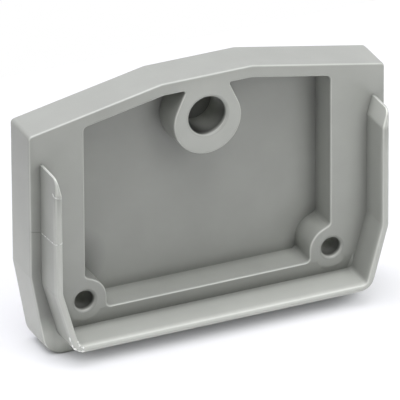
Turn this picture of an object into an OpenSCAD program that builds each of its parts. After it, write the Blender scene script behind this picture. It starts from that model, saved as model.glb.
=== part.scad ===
// End cover for a row of terminal blocks: one moulded piece, open side towards -Y.
// X runs across the width, +Y to the closed back and +Z up. Lengths are in millimetres.
// The cover stands on its base edge with the origin under the middle of its box.

/* [Body outline] */
// Width over the upright sides
body_w = 33.5; // [31:0.5:40]
// Height of the outer top corners
side_h = 21.5; // [20.5:0.1:22.5]
// Height of the flat in the middle of the top edge
peak_h = 23.95; // [23:0.05:26]
// Width of that flat
peak_w = 8.5; // [7:0.1:12]
// Height at which the sides start to lean inwards
bevel_h = 8; // [7:0.1:9.5]
// Width at the base before its corners are rounded
base_w = 30.7; // [28:0.1:33]
// Depth from the rim's front face to the back
body_d = 4; // [3.6:0.1:6]
// Radius of the outer top corners
top_corner_r = 0.4; // [0.3:0.1:2]
// Radius of the base corners
base_corner_r = 2; // [1:0.1:2.5]
// Radius that eases the shallow bends of the outline
bend_r = 1.5; // [0.5:0.1:4]

/* [Pocket] */
// Width of the pocket
pocket_w = 23.2; // [21:0.1:25]
// Height of the pocket's lower edge
pocket_z = 3.65; // [3.2:0.05:4.5]
// Depth of the pocket
pocket_d = 3.1; // [2:0.1:3.4]
// Width of the rim above the pocket
rim_w = 1.2; // [0.8:0.1:2]
// Radius of the pocket's inside corners
pocket_r = 0.4; // [0.3:0.05:0.8]

/* [Top socket] */
// Bore of the top socket
top_bore = 3.5; // [2.4:0.1:4]
// Diameter of its boss
top_boss = 6.35; // [5.8:0.05:7]
// Distance of the bore's axis below the peak
top_bore_drop = 3.95; // [3.7:0.05:4.6]
// How far the boss sits lower than the bore, which thickens its free side
top_boss_drop = 0.45; // [0:0.05:0.6]
// Radius of the two notches between the boss and the rim
notch_r = 0.15; // [0.1:0.05:0.4]

/* [Corner sockets] */
// Bore of the two lower sockets
corner_bore = 1.8; // [1.4:0.1:2.4]
// Diameter of their bosses
corner_boss = 4.15; // [3.8:0.05:4.6]
// Distance of each axis outside the pocket's side wall
corner_out = 0.1; // [0:0.05:0.3]
// Distance of each axis above the pocket's lower edge
corner_up = 1; // [0.9:0.05:1.4]

/* [Sockets] */
// Depth of all three blind bores
bore_d = 3.3; // [2:0.1:3.4]
// Radius that rounds the mouth of each bore
mouth_r = 0.28; // [0.1:0.02:0.3]
// Lean of the boss flanks that run on into the pocket walls, in degrees
flank_lean = 24; // [14:1:30]

/* [Lip] */
// Shoulder between the body's upright sides and the lip
lip_inset = 1; // [0.8:0.05:1.6]
// Shoulder between the base corners and the lip
lip_base_inset = 1.25; // [0.9:0.05:1.6]
// Height of the lip's underside above the base
lip_z = 1.45; // [1:0.05:1.6]
// Thickness of the lip at its root
lip_t = 0.7; // [0.5:0.02:0.9]
// Length of the lip in front of the rim
lip_l = 3.25; // [2:0.05:5]
// Height of the lip's two upper ends
lip_top = 18.7; // [16:0.1:19.5]
// Height at which the lip bends inwards
lip_bevel_h = 7.45; // [6.5:0.05:8]
// Outer radius of the lip's lower corners
lip_corner_r = 1.4; // [0.4:0.1:2]
// Inner radius of the lip's lower corners
ledge_corner_r = 0.5; // [0.4:0.1:1.6]
// Draft of the lip's faces, in degrees
lip_draft = 0.2; // [0:0.1:1.5]
// Radius of the front corner at each upper end
lip_end_r = 0.6; // [0.3:0.1:1.2]
// Length of the lead-in taper below each upper end
lead_in = 1.7; // [1.3:0.1:4]
// Thickness left at the tip of the taper
lead_tip = 0.24; // [0.2:0.02:0.4]

/* [Rail] */
// Depth by which the rail below the pocket slopes back at the ledge
rail_drop = 0.3; // [0.1:0.05:0.5]
// Half the width of the slope that eases the corner bosses into the rail
boss_ease = 0.35; // [0.1:0.05:0.5]

/* [Edges] */
// Radius of the body's outer edges and of the pocket's mouth
edge_r = 0.2; // [0.1:0.02:0.3]
// Radius along the outer front edge of the lip
lip_round = 0.34; // [0.1:0.02:0.42]
// Radius along the inner front edge of the lip
lip_edge_r = 0.28; // [0.06:0.02:0.34]

/* [Hidden] */
// Facet angle on the curves of an outline
turn_step = 6;
// Facets of an edge round, of the round at a lip's upper end and of a bore
edge_steps = 3;
end_steps = 5;
bore_facets = 64;
// Overrun of every cutter, and depth to which the lip is rooted in the body
over = 0.1;
root_d = 1;
// Flat left between the two edge rounds of a thin wall
least_flat = 0.04;
// Distance under which two points of a path are the same point
same_point = 0.001;

face_y = lip_l - (body_d + lip_l) / 2;
half_w = body_w / 2;
half_peak = peak_w / 2;
half_base = base_w / 2;
half_pocket = pocket_w / 2;
rim_slope = atan2(peak_h - side_h, half_w - half_peak);
pocket_peak = peak_h - rim_w;
pocket_bend = half_peak - rim_w * tan(rim_slope / 2);
pocket_side = pocket_peak - (half_pocket - pocket_bend) * tan(rim_slope);
top_bore_z = peak_h - top_bore_drop;
top_boss_z = top_bore_z - top_boss_drop;
corner_x = half_pocket + corner_out;
corner_z = pocket_z + corner_up;
lip_x = half_w - lip_inset;
lip_base_x = half_base - lip_base_inset;
ledge_z = lip_z + lip_t;

// Plane directions and turns, with X to the right and Z up as seen from the open side
function unit(v) = v / norm(v);
function polar(a) = [cos(a), sin(a)];
function outward(d) = [d.y, -d.x];
function spin(v, a) = [v.x * cos(a) - v.y * sin(a), v.x * sin(a) + v.y * cos(a)];
function bend_between(a, b) = atan2(a.x * b.y - a.y * b.x, a * b);
function flip(list) = [for (i = [len(list) - 1:-1:0]) list[i]];
function mirrored(corners) = [for (c = flip(corners)) [-c.x, c.y, c.z]];

// Arc that rounds corner q between its neighbours p and s: a list of [point, outward normal]
function rounded(p, q, s, r) =
    let (
        d1 = unit(q - p),
        bend = bend_between(d1, unit(s - q)),
        side = sign(bend),
        steps = max(2, ceil(abs(bend) / turn_step)),
        n1 = outward(d1),
        centre = q - d1 * r * tan(abs(bend) / 2) - side * r * n1
    )
    [for (k = [0:steps]) let (n = spin(n1, bend * k / steps)) [centre + side * r * n, n]];

function flat(c) = [c.x, c.y];

// Every inner corner of an open run of [x, z, radius] corners, rounded
function rounded_run(c) =
    [for (i = [1:len(c) - 2]) each rounded(flat(c[i - 1]), flat(c[i]), flat(c[i + 1]), c[i].z)];

// Closed path through all corners, without the doubled point where two arcs meet
function closed_path(c) =
    let (run = rounded_run([c[len(c) - 1], each c, c[0]]), n = len(run))
    [for (i = [0:n - 1]) if (norm(run[i][0] - run[(i + n - 1) % n][0]) > same_point) run[i]];

// Corner where two tangents of a circle meet, the circle's radius kept as the corner's radius
function tangent_corner(centre, r, a, spread) =
    let (p = centre + polar(a) * r / cos(spread / 2)) [p.x, p.y, r];

// Outline of the body, counter-clockwise from the right end of the base
body_half = [
    [half_base, 0, base_corner_r],
    [half_w, bevel_h, bend_r],
    [half_w, side_h, top_corner_r],
    [half_peak, peak_h, bend_r],
];
body_path = closed_path(concat(body_half, mirrored(body_half)));

// Outline of the pocket: lower edge, corner boss, side, sloping top edge, then the top boss
boss_r = top_boss / 2;
boss_spread = (180 + 2 * flank_lean) / 3;
flank_foot = [0, top_boss_z] + boss_r * polar(flank_lean);
notch_x = flank_foot.x - (pocket_peak - flank_foot.y) * tan(flank_lean);
socket_r = corner_boss / 2;
socket_arc = 90 - flank_lean;
socket_foot = [corner_x, corner_z] + socket_r * polar(90 + flank_lean);
socket_top = socket_foot.y + (half_pocket - socket_foot.x) * tan(flank_lean);
pocket_half = [
    [corner_x - socket_r, pocket_z, pocket_r],
    tangent_corner([corner_x, corner_z], socket_r, 180 - socket_arc / 2, socket_arc),
    [half_pocket, socket_top, pocket_r],
    [half_pocket, pocket_side, pocket_r],
    [pocket_bend, pocket_peak, bend_r],
    [notch_x, pocket_peak, notch_r],
    tangent_corner([0, top_boss_z], boss_r, flank_lean - boss_spread / 2, boss_spread),
];
pocket_path = closed_path(concat(
    pocket_half,
    [tangent_corner([0, top_boss_z], boss_r, -90, boss_spread)],
    mirrored(pocket_half)
));

// Line of the lip from one upper end, round the base, to the other, at a depth inside its outer face
lip_lean = atan2(lip_x - lip_base_x, lip_bevel_h - lip_z);
function lip_line(depth, corner_r) =
    let (half = [
        [lip_base_x - depth * tan((90 - lip_lean) / 2), lip_z + depth, corner_r],
        [lip_x - depth, lip_bevel_h + depth * tan(lip_lean / 2), bend_r],
        [lip_x - depth, lip_top, 0],
    ])
    rounded_run(concat(mirrored(half), half));

// Point on a path's cross plane: d outwards along the normal, y along the depth
function on_path(s, d, y) = let (p = s[0] + d * s[1]) [p.x, y, p.y];
function section(s, profile) = [for (q = profile) on_path(s, q.x, q.y)];

// Quarter of a unit circle, in the facets of an edge round
quarter = [for (k = [0:edge_steps]) polar(90 * k / edge_steps)];

// Profile that an edge round takes off a corner at [0, 0] whose material lies at -d and +y
function edge_cut(r) = concat(
    [[over, -over], [over, r]],
    [for (q = quarter) r * [q.x - 1, 1 - q.y]],
    [[-r, -over]]
);

// Solid through a list of like sections, closed on itself or capped at its two ends.
// The facets of its left half mirror those of its right half.
module sweep(rings, loop = false) {
    n = len(rings);
    m = len(rings[0]);
    sides = [
        for (i = [0:n - (loop ? 1 : 2)], j = [0:m - 1])
            let (
                a = i * m + j,
                b = i * m + (j + 1) % m,
                c = (i + 1) % n * m + (j + 1) % m,
                d = (i + 1) % n * m + j
            )
            each rings[i][j].x < 0 ? [[a, d, b], [b, d, c]] : [[a, c, b], [a, d, c]]
    ];
    caps = loop ? [] : [[for (j = [0:m - 1]) j], [for (j = [m:-1:1]) (n - 1) * m + j % m]];
    polyhedron(points = [for (r = rings) each r], faces = concat(sides, caps));
}

// Prism on a path from depth y0 back to y1
module slab(path, y0, y1) {
    translate([0, y1, 0])
        rotate([90, 0, 0])
            linear_extrude(y1 - y0)
                polygon([for (s = path) s[0]]);
}

// Cutter that rounds the body's edge on the front, or on the back when turned over
module outer_edge(y, inward) {
    cut = [for (q = edge_cut(edge_r)) [q.x, y + inward * q.y]];
    sweep([for (s = body_path) section(s, inward > 0 ? cut : flip(cut))], loop = true);
}

// Cutter that rounds the pocket's mouth, where the material lies outside the path
module pocket_edge() {
    cut = [for (q = flip(edge_cut(edge_r))) [-q.x, q.y]];
    sweep([for (s = pocket_path) section(s, cut)], loop = true);
}

// Blind bore along +Y with a rounded mouth
module blind_bore(x, z, r) {
    translate([x, 0, z])
        rotate([-90, 0, 0]) {
            translate([0, 0, -over])
                cylinder(h = bore_d + over, r = r, $fn = bore_facets);
            rotate_extrude($fn = bore_facets)
                polygon(concat(
                    [[0, -over], [r + mouth_r, -over]],
                    [for (q = flip(quarter)) [r + mouth_r * (1 - q.x), mouth_r * (1 - q.y)]],
                    [[0, mouth_r]]
                ));
        }
}

// Slope of the rail between the pocket and the ledge, with the corner bosses left standing
module rail() {
    foot_z = ledge_z - lip_t / 2;
    foot_y = rail_drop * (pocket_z - foot_z) / (pocket_z - ledge_z);
    end_x = lip_base_x - lip_t / 2;
    flat_x = lip_base_x - (lip_t + ledge_corner_r) * tan((90 - lip_lean) / 2);
    spread = 2 * boss_ease * over / rail_drop;
    difference() {
        sweep([
            for (x = [-end_x, -flat_x, flat_x, end_x])
                let (y = abs(x) > flat_x ? -over / 2 : foot_y)
                [[x, -over, pocket_z], [x, -over, foot_z], [x, y, foot_z], [x, 0, pocket_z]]
        ]);
        for (side = [-1, 1])
            translate([side * corner_x, -over, corner_z])
                rotate([-90, 0, 0])
                    cylinder(
                        h = rail_drop + 2 * over,
                        r1 = socket_r - boss_ease - spread,
                        r2 = socket_r + boss_ease + spread,
                        $fn = bore_facets
                    );
    }
}

// Section of the lip between matching points of its outer and inner lines,
// from the wall at its root and the reach of its front edge. Where the wall thins, its inner
// face cuts into the outer edge round and sets the front edge back.
function lip_section(outer, inner, wall, reach) =
    let (
        lean = tan(lip_draft),
        front = wall - 2 * lean * reach,
        r1 = lip_edge_r * min(1, (front - least_flat) / (lip_round + lip_edge_r)),
        turn = acos(max(0, 1 - (front - r1 - least_flat) / lip_round)),
        tip = reach - lip_round * (1 - sin(turn))
    )
    concat(
        [on_path(inner, lip_t - wall - lean * root_d, root_d)],
        [for (q = quarter)
            on_path(inner, lip_t - wall + lean * reach + r1 * (1 - q.x), r1 * (1 - q.y) - tip)],
        [for (k = [edge_steps:-1:0])
            let (q = polar(turn * k / edge_steps))
            on_path(outer, -lean * reach - lip_round * (1 - q.x), lip_round * (1 - q.y) - reach)],
        [on_path(outer, lean * root_d, root_d)]
    );

// Wall of the lip at a distance below its upper end
function tapered_wall(below) = lead_tip + (lip_t - lead_tip) * below / lead_in;

// Stations down one upper end: [distance below the end, reach of the front edge]
lip_stations = concat(
    [for (k = [0:end_steps])
        let (a = 90 * k / end_steps) [lip_end_r * (1 - cos(a)), lip_l - lip_end_r * (1 - sin(a))]],
    [[lead_in, lip_l]]
);

module lip() {
    ends = [
        for (side = [-1, 1])
            [for (e = lip_stations)
                lip_section(
                    [[side * lip_x, lip_top - e[0]], [side, 0]],
                    [[side * (lip_x - lip_t), lip_top - e[0]], [side, 0]],
                    tapered_wall(e[0]),
                    e[1]
                )]
    ];
    outer = lip_line(0, lip_corner_r);
    inner = lip_line(lip_t, ledge_corner_r);
    middle = [for (i = [0:len(outer) - 1]) lip_section(outer[i], inner[i], lip_t, lip_l)];
    sweep(concat(ends[0], middle, flip(ends[1])));
}

module end_cover() {
    color([0.6, 0.61, 0.59])
        translate([0, face_y, 0])
            union() {
                difference() {
                    slab(body_path, 0, body_d);
                    outer_edge(0, 1);
                    outer_edge(body_d, -1);
                    rail();
                    slab(pocket_path, -over, pocket_d);
                    pocket_edge();
                    blind_bore(0, top_bore_z, top_bore / 2);
                    for (side = [-1, 1])
                        blind_bore(side * corner_x, corner_z, corner_bore / 2);
                }
                lip();
            }
}

end_cover();
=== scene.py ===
from math import cos, radians, sin

import bpy
import numpy as np
from mathutils import Matrix, Vector


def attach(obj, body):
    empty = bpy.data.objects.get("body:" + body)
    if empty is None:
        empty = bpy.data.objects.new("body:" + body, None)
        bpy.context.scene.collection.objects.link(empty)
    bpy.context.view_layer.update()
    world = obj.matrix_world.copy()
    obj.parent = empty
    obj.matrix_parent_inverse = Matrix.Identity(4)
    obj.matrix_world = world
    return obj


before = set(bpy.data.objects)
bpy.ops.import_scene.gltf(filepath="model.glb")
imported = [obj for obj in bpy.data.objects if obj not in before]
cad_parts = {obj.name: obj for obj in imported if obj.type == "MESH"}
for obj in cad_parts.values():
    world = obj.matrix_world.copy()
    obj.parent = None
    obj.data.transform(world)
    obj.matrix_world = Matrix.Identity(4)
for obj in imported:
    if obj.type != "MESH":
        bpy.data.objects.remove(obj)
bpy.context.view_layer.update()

# The cover: one injection moulding of grey polyamide, with a peaked plate, a pocket, three bosses
# and a lip. Its solid is already right, so it stays and is only dressed: smooth over its rounded
# edges, crisp at its creases, and finished with the fine satin grain that the mould leaves.
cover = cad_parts["end_cover"]

# The solid comes as loose triangles, so they are welded, and each flat face is joined into one.
same_point = 2e-6
flat_angle = radians(0.5)
weld = cover.modifiers.new("weld", "WELD")
weld.merge_threshold = same_point
flats = cover.modifiers.new("flats", "DECIMATE")
flats.decimate_type = "DISSOLVE"
flats.angle_limit = flat_angle

# An edge is crisp above the crease angle, or above a smaller angle where its faces are broad.
crease_angle = radians(32)
broad_crease_angle = radians(11)
broad_area = 1.5e-6
shading = bpy.data.node_groups.new("smooth up to creases", "GeometryNodeTree")
shading.interface.new_socket("Geometry", in_out="INPUT", socket_type="NodeSocketGeometry")
shading.interface.new_socket("Geometry", in_out="OUTPUT", socket_type="NodeSocketGeometry")
mesh_in = shading.nodes.new("NodeGroupInput")
edge_angle = shading.nodes.new("GeometryNodeInputMeshEdgeAngle")
face_area = shading.nodes.new("GeometryNodeInputMeshFaceArea")
narrowness = shading.nodes.new("ShaderNodeMath")
narrowness.operation = "DIVIDE"
narrowness.inputs[0].default_value = broad_area
of_faces = shading.nodes.new("GeometryNodeFieldOnDomain")
of_faces.domain = "FACE"
between_broad = shading.nodes.new("FunctionNodeCompare")
between_broad.operation = "LESS_THAN"
between_broad.inputs["B"].default_value = 1
limit = shading.nodes.new("GeometryNodeSwitch")
limit.input_type = "FLOAT"
limit.inputs["False"].default_value = crease_angle
limit.inputs["True"].default_value = broad_crease_angle
soft_edge = shading.nodes.new("FunctionNodeCompare")
soft_edge.operation = "LESS_THAN"
smooth_faces = shading.nodes.new("GeometryNodeSetShadeSmooth")
crisp_edges = shading.nodes.new("GeometryNodeSetShadeSmooth")
crisp_edges.domain = "EDGE"
mesh_out = shading.nodes.new("NodeGroupOutput")
for source, target in (
    (mesh_in.outputs["Geometry"], smooth_faces.inputs["Geometry"]),
    (smooth_faces.outputs["Geometry"], crisp_edges.inputs["Geometry"]),
    (face_area.outputs["Area"], narrowness.inputs[1]),
    (narrowness.outputs[0], of_faces.inputs["Value"]),
    (of_faces.outputs["Value"], between_broad.inputs["A"]),
    (between_broad.outputs["Result"], limit.inputs["Switch"]),
    (edge_angle.outputs["Unsigned Angle"], soft_edge.inputs["A"]),
    (limit.outputs["Output"], soft_edge.inputs["B"]),
    (soft_edge.outputs["Result"], crisp_edges.inputs["Shade Smooth"]),
    (crisp_edges.outputs["Geometry"], mesh_out.inputs["Geometry"]),
):
    shading.links.new(source, target)
cover.modifiers.new("smooth", "NODES").node_group = shading

weights = cover.modifiers.new("face weights", "WEIGHTED_NORMAL")
weights.keep_sharp = True
weights.weight = 100

# What every moulded skin has: soft clouds in its colour, and a fine grain in its gloss and relief.
moulded_skin = bpy.data.node_groups.new("moulded skin", "ShaderNodeTree")
moulded_skin.interface.new_socket("Place", in_out="INPUT", socket_type="NodeSocketVector")
for name in ("Cloud Scale", "Grain Scale", "Smoothest", "Roughest"):
    moulded_skin.interface.new_socket(name, in_out="INPUT", socket_type="NodeSocketFloat")
for name in ("Clouds", "Roughness"):
    moulded_skin.interface.new_socket(name, in_out="OUTPUT", socket_type="NodeSocketFloat")
moulded_skin.interface.new_socket("Normal", in_out="OUTPUT", socket_type="NodeSocketVector")
skin_in = moulded_skin.nodes.new("NodeGroupInput")
skin_out = moulded_skin.nodes.new("NodeGroupOutput")
clouds = moulded_skin.nodes.new("ShaderNodeTexNoise")
clouds.inputs["Detail"].default_value = 3
grain = moulded_skin.nodes.new("ShaderNodeTexNoise")
grain.inputs["Detail"].default_value = 2
gloss = moulded_skin.nodes.new("ShaderNodeMapRange")
relief = moulded_skin.nodes.new("ShaderNodeBump")
relief.inputs["Strength"].default_value = 0.12
relief.inputs["Distance"].default_value = 2e-5
for source, target in (
    (skin_in.outputs["Place"], clouds.inputs["Vector"]),
    (skin_in.outputs["Cloud Scale"], clouds.inputs["Scale"]),
    (clouds.outputs["Fac"], skin_out.inputs["Clouds"]),
    (skin_in.outputs["Place"], grain.inputs["Vector"]),
    (skin_in.outputs["Grain Scale"], grain.inputs["Scale"]),
    (grain.outputs["Fac"], gloss.inputs["Value"]),
    (skin_in.outputs["Smoothest"], gloss.inputs["To Min"]),
    (skin_in.outputs["Roughest"], gloss.inputs["To Max"]),
    (gloss.outputs["Result"], skin_out.inputs["Roughness"]),
    (grain.outputs["Fac"], relief.inputs["Height"]),
    (relief.outputs["Normal"], skin_out.inputs["Normal"]),
):
    moulded_skin.links.new(source, target)


def new_plastic(name):
    """Material with a plain shader, and the outputs of its coordinates."""
    material = bpy.data.materials.new(name)
    material.use_nodes = True
    return material, material.node_tree.nodes.new("ShaderNodeTexCoord").outputs


def put_node(kind, *values):
    """Node in the same material as the values, which go to its first inputs in their order."""
    tree = values[0].id_data
    node = tree.nodes.new(kind)
    for value, socket in zip(values, node.inputs):
        tree.links.new(value, socket)
    return node


def ramp(value, start, stop, low=0, high=1):
    """Value that goes evenly from low at start to high at stop, and stays there beyond them."""
    node = put_node("ShaderNodeMapRange", value)
    for name, number in zip(("From Min", "From Max", "To Min", "To Max"), (start, stop, low, high)):
        node.inputs[name].default_value = number
    return node.outputs["Result"]


def work_out(operation, *values):
    """Result of a Math node on one or two values."""
    node = put_node("ShaderNodeMath", *values)
    node.operation = operation
    return node.outputs[0]


def product(first, *others):
    """Product of the values. For masks it is 1 only where each of them is."""
    result = first
    for value in others:
        result = work_out("MULTIPLY", result, value)
    return result


def tone_on(mask, tone):
    """Fixed tone where the mask is 1, and 1 where it is 0."""
    return ramp(mask, 0, 1, 1, tone)


def only_on(mask, factor):
    """Factor that changes over the skin where the mask is 1, and 1 where it is 0."""
    node = put_node("ShaderNodeMix", mask)
    node.inputs["A"].default_value = 1
    mask.id_data.links.new(factor, node.inputs["B"])
    return node.outputs["Result"]


def turned_to(part, way=1):
    """Mask of the skin that faces along a direction, or against it with a way of -1."""
    return ramp(part, 0.6 * way, 0.9 * way)


moulded, coordinates = new_plastic("grey moulded plastic")
place = coordinates["Object"]
at_x, at_y, at_z = put_node("ShaderNodeSeparateXYZ", place).outputs
facing_x, facing_y, facing_z = put_node("ShaderNodeSeparateXYZ", coordinates["Normal"]).outputs
from_middle = work_out("ABSOLUTE", at_x)
front_skin = turned_to(facing_y, -1)
behind_rim_face = ramp(at_y, -0.0004, -0.0001)
before_back = ramp(at_y, 0.0032, 0.003)

# Painted shade in the creases: the colour is darker where ambient occlusion finds them closed in.
crease_reach = 0.0012
creases = moulded.node_tree.nodes.new("ShaderNodeAmbientOcclusion")
creases.samples = 8
creases.inputs["Distance"].default_value = crease_reach
openness = creases.outputs["AO"]
painted_crease_shade = ramp(openness, 0.1, 0.95, 0.5, 1)

# Painted highlight, paler skin: every rounded edge, whose skin faces neither ahead nor aside, and
# the lip's front, painted palest at its left.
ahead_part = product(facing_y, facing_y)
turned_part = product(ahead_part, ramp(ahead_part, 0, 1, 1, 0))
open_edge = product(ramp(turned_part, 0.06, 0.25), ramp(openness, 0.7, 0.92))
edge_highlight = tone_on(open_edge, 1.5)
highlit_lip_front = product(ramp(at_y, -0.0029, -0.0036), ramp(at_z, 0.0172, 0.0146))
lip_front_highlight = only_on(highlit_lip_front, ramp(at_x, -0.0155, 0.0155, 1.42, 1.26))
painted_highlight = work_out("MAXIMUM", edge_highlight, lip_front_highlight)

# Painted light: the lead-ins on the inner side of the lip's upper ends are painted paler. The
# ledge's upward face is painted paler, most of all at its front, and the pocket's floor is painted
# a little darker, as painted shade in the recess.
on_lip = ramp(at_y, -0.0004, -0.0007)
inner_end = product(ramp(from_middle, 0.0157, 0.0155), ramp(at_z, 0.0168, 0.0172))
painted_lead_in_light = tone_on(product(inner_end, on_lip), 1.45)
on_ledge = product(turned_to(facing_z), on_lip)
painted_ledge_light = only_on(on_ledge, ramp(at_y, -0.001, -0.0032, 1.2, 1.3))
sunk_front = product(front_skin, ramp(at_y, 0.0015, 0.0025))
pocket_floor_shade = tone_on(sunk_front, 0.86)

# Places on the cover's front, each as its width from the middle and its height.
top_socket = (0, 0.02)
corner_socket = (0.0117, 0.00465)
lip_corner = (0.01303, 0.00285)
foot_corner = (0.01465, 0.0008)
left_boss = (-0.0112, 0.0072)


def far_from(point, across):
    """Distance from a point, seen from the front. It is taken across the whole width, or with the
    width from the middle, so that it holds for both sides at once."""
    view = put_node("ShaderNodeCombineXYZ", across)
    across.id_data.links.new(at_z, view.inputs["Z"])
    away = put_node("ShaderNodeVectorMath", view.outputs[0])
    away.operation = "DISTANCE"
    away.inputs[1].default_value = (point[0], 0, point[1])
    return away.outputs["Value"]


# Painted light and shade on the rim's front: darker towards its foot and paler towards its peak,
# most of all on the top boss.
rim_front = product(front_skin, ramp(at_y, 0.0004, 0.0001), ramp(at_y, -0.0012, -0.0009))
from_top_socket = far_from(top_socket, at_x)
lit_height = ramp(at_z, 0.003, 0.021, 0.88, 1.12)
lit_top_boss = ramp(from_top_socket, 0.0045, 0.003, 1, 1.1)
rim_painted_light = only_on(rim_front, product(lit_height, lit_top_boss))

# Painted light on the outside: the body's two sides, paler towards the foot that the cover stands
# on, the foot of the shoulder outside the lip's lower corners, and the shoulder beside the lip's
# arms.
aside_part = product(facing_x, facing_x)
outermost = product(ramp(from_middle, 0.0139, 0.0141), behind_rim_face)
body_side = product(turned_to(aside_part), outermost)
side_painted_light = only_on(body_side, ramp(at_z, 0.019, 0.004, 1, 1.2))
near_foot = ramp(far_from(foot_corner, from_middle), 0.0034, 0.0016)
outside_lip = ramp(far_from(lip_corner, from_middle), 0.00138, 0.0015)
shoulder_foot = product(rim_front, near_foot, outside_lip)
foot_painted_light = only_on(shoulder_foot, ramp(from_middle, 0.0146, 0.0135, 1.7, 2.5))
shoulder = product(front_skin, ramp(from_middle, 0.01574, 0.01578))
beside_arm = product(ramp(at_z, 0.0185, 0.0165), ramp(at_z, 0.009, 0.011))
shoulder_painted_light = tone_on(product(shoulder, beside_arm), 1.17)

# Painted light and shade in the sockets: their walls are paler at the mouth and far in and darker
# between, and their floors are darker. The top one is painted darkest at its left, and the small
# ones grow paler sooner. Their mouths are painted darker, so they get less painted highlight than
# other edges.
top_socket_r, corner_socket_r = 0.00175, 0.0009
wall_fade, mouth_fade = (8e-5, 4e-5), (3.1e-4, 1.1e-4)
from_corner_socket = far_from(corner_socket, from_middle)


def within(distance, radius, fade):
    """Mask of what lies within a radius, with a fade that starts and stops so far outside it."""
    return ramp(distance, radius + fade[0], radius + fade[1])


in_top = product(within(from_top_socket, top_socket_r, wall_fade), before_back)
in_corner = product(within(from_corner_socket, corner_socket_r, wall_fade), before_back)
in_socket = work_out("MAXIMUM", in_top, in_corner)
mouth_wall = ramp(at_y, -0.0002, 0.0002, 1.4, 0.38)
deep_wall = ramp(at_y, 0.0002, 0.0024, 0.38, 2.9)
socket_wall_painted_light_and_shade = only_on(in_socket, work_out("MAXIMUM", mouth_wall, deep_wall))
socket_floor_shade = tone_on(product(in_socket, sunk_front), 0.42)
top_socket_left_shade = only_on(in_top, ramp(at_x, -0.0008, 0.0012, 0.12, 1.3))
small_socket_painted_light = only_on(in_corner, ramp(at_y, 0.0008, 0.0024, 1, 1.45))
at_top_mouth = within(from_top_socket, top_socket_r, mouth_fade)
at_corner_mouth = within(from_corner_socket, corner_socket_r, mouth_fade)
at_mouth = work_out("MAXIMUM", at_top_mouth, at_corner_mouth)
mouth_painted_shade = tone_on(product(at_mouth, before_back), 0.72)

# Painted shade on and around the left corner boss, inside the pocket.
in_pocket = product(behind_rim_face, before_back)
near_left_boss = ramp(far_from(left_boss, at_x), 0.003, 0.0012)
left_corner_shade = tone_on(product(in_pocket, near_left_boss), 0.68)

# Hairline where two inserts of the mould meet, slanting a little across the left shoulder.
slant = put_node("ShaderNodeVectorMath", place)
slant.operation = "DOT_PRODUCT"
slant.inputs[1].default_value = (0.25, 0, 1)
slant_height = slant.outputs["Value"]
band = product(ramp(slant_height, 0.00821, 0.00825), ramp(slant_height, 0.00832, 0.00828))
left_half = ramp(at_x, 0.001, -0.001)
hairline = tone_on(product(band, shoulder, left_half), 0.65)


def tint(value, start, stop, first, last):
    """Colour that goes evenly from the first at start to the last at stop."""
    node = put_node("ShaderNodeValToRGB", value)
    low_end, high_end = node.color_ramp.elements
    low_end.position, low_end.color = start, first
    high_end.position, high_end.color = stop, last
    return node.outputs["Color"]


def lay_skin(place, cloud_scale, grain_scale, smoothest, roughest):
    """Moulded skin on the place's material, wired to its gloss and relief. Gives its clouds."""
    tree = place.id_data
    skin = tree.nodes.new("ShaderNodeGroup")
    skin.node_tree = moulded_skin
    skin.inputs["Cloud Scale"].default_value = cloud_scale
    skin.inputs["Grain Scale"].default_value = grain_scale
    skin.inputs["Smoothest"].default_value = smoothest
    skin.inputs["Roughest"].default_value = roughest
    tree.links.new(place, skin.inputs["Place"])
    surface = tree.nodes["Principled BSDF"]
    tree.links.new(skin.outputs["Roughness"], surface.inputs["Roughness"])
    tree.links.new(skin.outputs["Normal"], surface.inputs["Normal"])
    return skin.outputs["Clouds"]


def paint(material, colour):
    """Colour on the plain shader of a material."""
    surface = material.node_tree.nodes["Principled BSDF"]
    material.node_tree.links.new(colour, surface.inputs["Base Color"])


# The colour: a warm light grey with soft clouds, times all of the painted light and shade and the
# mould's hairline.
dark_cloud, light_cloud = (0.309, 0.318, 0.294, 1), (0.332, 0.342, 0.316, 1)
skin_clouds = lay_skin(place, cloud_scale=260, grain_scale=9000, smoothest=0.36, roughest=0.5)
clouded_grey = tint(skin_clouds, 0.3, 0.7, dark_cloud, light_cloud)
shade = product(
    painted_highlight, painted_lead_in_light, painted_ledge_light, pocket_floor_shade, rim_painted_light, side_painted_light, foot_painted_light, shoulder_painted_light,
    socket_wall_painted_light_and_shade, socket_floor_shade, top_socket_left_shade, small_socket_painted_light, mouth_painted_shade, left_corner_shade, hairline, painted_crease_shade,
)
shaded_grey = put_node("ShaderNodeVectorMath", clouded_grey)
shaded_grey.operation = "SCALE"
moulded.node_tree.links.new(shade, shaded_grey.inputs["Scale"])
paint(moulded, shaded_grey.outputs[0])
cover.data.materials.clear()
cover.data.materials.append(moulded)

# The mould's marks: hair-thin ridges of flash, of the cover's own plastic, that the mould left
# across the lip's left arm where its inserts meet, and torn crumbs of flash at the lip's lower left
# corner. They stand from a few hundredths to about a tenth of a millimetre proud.
millimetre = 0.001
rim_y, lip_front_y, clear_of_front = -0.375, -3.625, 1e-4
arm_x, arm_slope, arm_front_width = -15.75, 0.0035, 0.677
outer_round, inner_round = 0.34, 0.28
outer_corner, inner_corner = (-13.033, 2.85, 1.4), (-13.186, 2.65, 0.5)
ring_points, face_points, run_in_points, corner_points = 10, 24, 20, 60
tip_share, tip_bluntness = 0.01, 0.3


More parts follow.
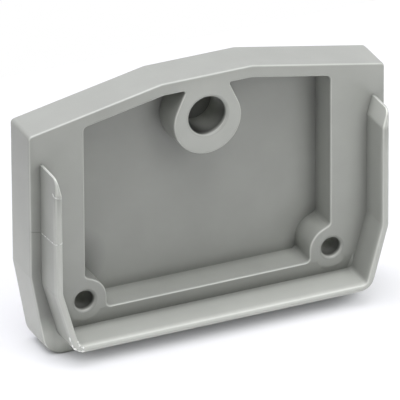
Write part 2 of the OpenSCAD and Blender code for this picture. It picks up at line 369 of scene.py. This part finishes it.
def ridge(line, outwards, half_width, height):
    """Closed tube: an ellipse carried along a line on the lip's skin. Each ring is the line's
    point, plus the half width times the cosine of the turn across the line, plus the height times
    its sine outwards. Both sizes fade towards the line's two ends with a low power of the sine of
    the share of the line, and nothing stands in front of the lip."""
    share = np.linspace(0, 1, len(line))
    fade = np.maximum(np.sin(np.pi * share), tip_share) ** tip_bluntness
    across = np.cross(np.gradient(line, axis=0), outwards)
    across /= np.linalg.norm(across, axis=1, keepdims=True)
    turn = np.linspace(0, 2 * np.pi, ring_points, endpoint=False)
    wide = (fade * half_width)[:, None, None] * np.cos(turn)[None, :, None]
    high = (fade * height)[:, None, None] * np.sin(turn)[None, :, None]
    rings = line[:, None] + wide * across[:, None] + high * outwards[:, None]
    rings[..., 1] = np.maximum(rings[..., 1], lip_front_y + clear_of_front)
    return rings


def over_arm(start_y, bend, z):
    """Line over the lip's left arm and its outwards directions: along the outer face from a depth
    to the front round, then through the bend angles of the outer round and, past 90 degrees, of
    the inner round. Its height goes evenly from first to last."""
    face_y = np.linspace(start_y, lip_front_y + outer_round, face_points)[:-1]
    face_x = arm_x + arm_slope * (rim_y - face_y)
    on_outer, turned = bend <= 90, np.radians(bend)
    radius = np.where(on_outer, outer_round, inner_round)
    edge_x = arm_x + arm_slope * (rim_y - lip_front_y)
    middle_x = edge_x + np.where(on_outer, outer_round, arm_front_width - inner_round)
    x = np.concatenate([face_x, middle_x - radius * np.cos(turned)])
    y = np.concatenate([face_y, lip_front_y + radius * (1 - np.sin(turned))])
    turned = np.pad(turned, (len(face_y), 0))
    outwards = np.stack([-np.cos(turned), -np.sin(turned), np.zeros(len(turned))], axis=1)
    return np.stack([x, y, np.linspace(*z, len(x))], axis=1), outwards


def round_corner(corner, edge_round, side, run_in, angle, bend):
    """Line round the lip's lower left corner, given by its middle and radius, and its outwards
    directions. It is straight over the run-in, and then the angle round the corner and the bend
    over the lip's front round each go evenly from first to last. The side is 1 on the outer edge
    of the lip and -1 on its inner edge."""
    middle_x, middle_z, radius = corner
    before = np.pad(np.linspace(run_in, 0, run_in_points, endpoint=False), (0, corner_points))
    angle = np.pad(np.radians(np.linspace(*angle, corner_points)), (run_in_points, 0), "edge")
    bend = np.pad(np.radians(np.linspace(*bend, corner_points)), (run_in_points, 0), "edge")
    reach = radius - side * edge_round * (1 - np.cos(bend))
    x = middle_x + reach * np.cos(angle) + before * np.sin(angle)
    y = lip_front_y + edge_round * (1 - np.sin(bend))
    z = middle_z + reach * np.sin(angle) - before * np.cos(angle)
    aside = side * np.cos(bend)
    outwards = np.stack([aside * np.cos(angle), -np.sin(bend), aside * np.sin(angle)], axis=1)
    return np.stack([x, y, z], axis=1), outwards


arm_bend = np.concatenate([np.linspace(0, 90, 13), np.linspace(95, 150, 9)])
lower_line = over_arm(start_y=-0.5, bend=arm_bend, z=(12.22, 12.58))
upper_line = over_arm(start_y=-3.0, bend=arm_bend, z=(17.2, 16.8))
outer_edge = round_corner(
    outer_corner, outer_round, side=1, run_in=0.9, angle=(196, 264), bend=(35, 70)
)
inner_edge = round_corner(
    inner_corner, inner_round, side=-1, run_in=0.3, angle=(195, 270), bend=(45, 60)
)

# The crumbs swell out of a thread of flash by the sine of 5 and the cosine of 2.3 half waves.
thread, swell = 0.01, 0.13
half_wave = np.pi * np.linspace(0, 1, run_in_points + corner_points)
crumbs = thread + swell * np.abs(np.sin(5 * half_wave) * np.cos(2.3 * half_wave))
tubes = [
    ridge(*lower_line, half_width=0.06, height=0.05),
    ridge(*upper_line, half_width=0.07, height=0.06),
    ridge(*outer_edge, half_width=crumbs, height=crumbs),
    ridge(*inner_edge, half_width=crumbs, height=crumbs),
]
points, faces = [], []
for rings in tubes:
    first = sum(len(part) for part in points)
    number = first + np.arange(rings.shape[0] * ring_points).reshape(-1, ring_points)
    beside = np.roll(number, -1, axis=1)
    sides = np.stack([number[:-1], number[1:], beside[1:], beside[:-1]], axis=-1).reshape(-1, 4)
    points.append(rings.reshape(-1, 3) * millimetre)
    faces += sides.tolist() + [number[0].tolist(), number[-1, ::-1].tolist()]
flash_mesh = bpy.data.meshes.new("mould_flash")
flash_mesh.from_pydata(np.concatenate(points).tolist(), [], faces)
flash_mesh.shade_smooth()

# Its plastic is torn thin, so it is paler than the cover, most of all at the torn corner.
thick_grey, thin_white = (0.38, 0.39, 0.365, 1), (0.8, 0.81, 0.78, 1)
pale_flash, coordinates = new_plastic("pale flash")
flash_place = coordinates["Object"]
flash_clouds = lay_skin(
    flash_place, cloud_scale=4000, grain_scale=9000, smoothest=0.4, roughest=0.5
)
flash_height = put_node("ShaderNodeSeparateXYZ", flash_place).outputs["Z"]
torn_corner = ramp(flash_height, 0.006, 0.004, 0, 0.2)
thinness = work_out("ADD", flash_clouds, torn_corner)
paint(pale_flash, tint(thinness, 0.35, 0.75, thick_grey, thin_white))
flash_mesh.materials.append(pale_flash)
flash = bpy.data.objects.new("mould_flash", flash_mesh)
bpy.context.scene.collection.objects.link(flash)
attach(flash, "root")

# The table: a small sheet of white card under the cover. The camera sees it as white, with the soft
# shadow that the lamps leave, and a painted shadow: its glow, seen only by the camera, is darkened
# where ambient occlusion finds the card and the cover close to each other.
half_sheet = 0.05
shade_reach = 0.003
sheet_corners = half_sheet * np.array([(-1, -1, 0), (1, -1, 0), (1, 1, 0), (-1, 1, 0)])
sheet = bpy.data.meshes.new("table")
sheet.from_pydata(sheet_corners.tolist(), [], [(0, 1, 2, 3)])
table = bpy.data.objects.new("table", sheet)
bpy.context.scene.collection.objects.link(table)
pale = bpy.data.materials.new("pale sheet")
pale.use_nodes = True
nodes, links = pale.node_tree.nodes, pale.node_tree.links
nodes.clear()
seen = nodes.new("ShaderNodeLightPath").outputs["Is Camera Ray"]
closeness = nodes.new("ShaderNodeAmbientOcclusion")
closeness.samples = 16
closeness.inputs["Distance"].default_value = shade_reach
glow_with_painted_shadow = ramp(closeness.outputs["AO"], 0.12, 0.42, 0.08, 0.46)
paper = put_node("ShaderNodeBsdfDiffuse", ramp(seen, 0, 1, 0.9, 0.45))
haze = nodes.new("ShaderNodeEmission")
haze.inputs["Color"].default_value = (0.95, 0.965, 1, 1)
links.new(product(seen, glow_with_painted_shadow), haze.inputs["Strength"])
hazy_paper = put_node("ShaderNodeAddShader", paper.outputs[0], haze.outputs[0])
put_node("ShaderNodeOutputMaterial", hazy_paper.outputs[0])
sheet.materials.append(pale)

# The light: an even white room, which the camera and reflections see as plain white, broad soft
# lamps over the cover, and one small lamp near its front right.
room = bpy.data.worlds.new("white room")
bpy.context.scene.world = room
room.use_nodes = True
nodes, links = room.node_tree.nodes, room.node_tree.links
sky = nodes["Background"]
sky.inputs["Color"].default_value = (1, 1, 1, 1)
sky.inputs["Strength"].default_value = 0.095
white = nodes.new("ShaderNodeBackground")
white.inputs["Color"].default_value = (1, 1, 1, 1)
path = nodes.new("ShaderNodeLightPath").outputs
direct = work_out("MAXIMUM", path["Is Camera Ray"], path["Is Glossy Ray"])
clear = work_out("MAXIMUM", direct, path["Is Transmission Ray"])
choose = put_node("ShaderNodeMixShader", clear, sky.outputs[0], white.outputs[0])
links.new(choose.outputs[0], nodes["World Output"].inputs["Surface"])

# Each broad lamp: its turn from the front and its rise in degrees, its strength and its colour.
cool, plain = (1, 0.985, 1.06), (1, 1, 1)
lamp_softness = radians(40)
lamps = {
    "overhead": (0, 88, 1.64, cool),
    "front above": (0, 65, 1.3, plain),
    "behind left above": (-135, 65, 1.11, cool),
    "left": (-90, 15, 0.7, plain),
}
for name, (turn, rise, strength, colour) in lamps.items():
    light = bpy.data.lights.new(name, "SUN")
    light.energy = strength
    light.color = colour
    light.angle = lamp_softness
    lamp = bpy.data.objects.new(name, light)
    turn, rise = radians(turn), radians(rise)
    shine = Vector((-sin(turn) * cos(rise), cos(turn) * cos(rise), -sin(rise)))
    lamp.rotation_euler = shine.to_track_quat("-Z", "Y").to_euler()
    bpy.context.scene.collection.objects.link(lamp)

near_light = bpy.data.lights.new("near front right", "POINT")
near_light.energy = 0.0635
near_light.shadow_soft_size = 0.02
near_lamp = bpy.data.objects.new("near front right", near_light)
near_lamp.location = (0.03, -0.06, 0.05)
near_lamp.visible_camera = False
bpy.context.scene.collection.objects.link(near_lamp)

# The camera: a long lens from the left and above, as in the photograph, rolled a little. It stands
# at its distance from the point on the cover that it aims at.
azimuth, elevation, roll = radians(24.274), radians(27.492), radians(-0.343)
distance = 0.8822
aim = Vector((-0.000798, -0.000366, 0.012044))
ahead = Vector((sin(azimuth) * cos(elevation), cos(azimuth) * cos(elevation), -sin(elevation)))
level = Vector((cos(azimuth), -sin(azimuth), 0))
upright = level.cross(ahead)
right = level * cos(roll) + upright * sin(roll)
up = upright * cos(roll) - level * sin(roll)
stand = Matrix.Translation(aim - ahead * distance)
camera_data = bpy.data.cameras.new("camera")
camera_data.sensor_width = 36
camera_data.lens = 923.0
camera_data.clip_end = 10
camera = bpy.data.objects.new("camera", camera_data)
camera.matrix_world = stand @ Matrix((right, up, -ahead)).transposed().to_4x4()
bpy.context.scene.collection.objects.link(camera)
bpy.context.scene.camera = camera
bpy.context.scene.view_settings.view_transform = "Standard"
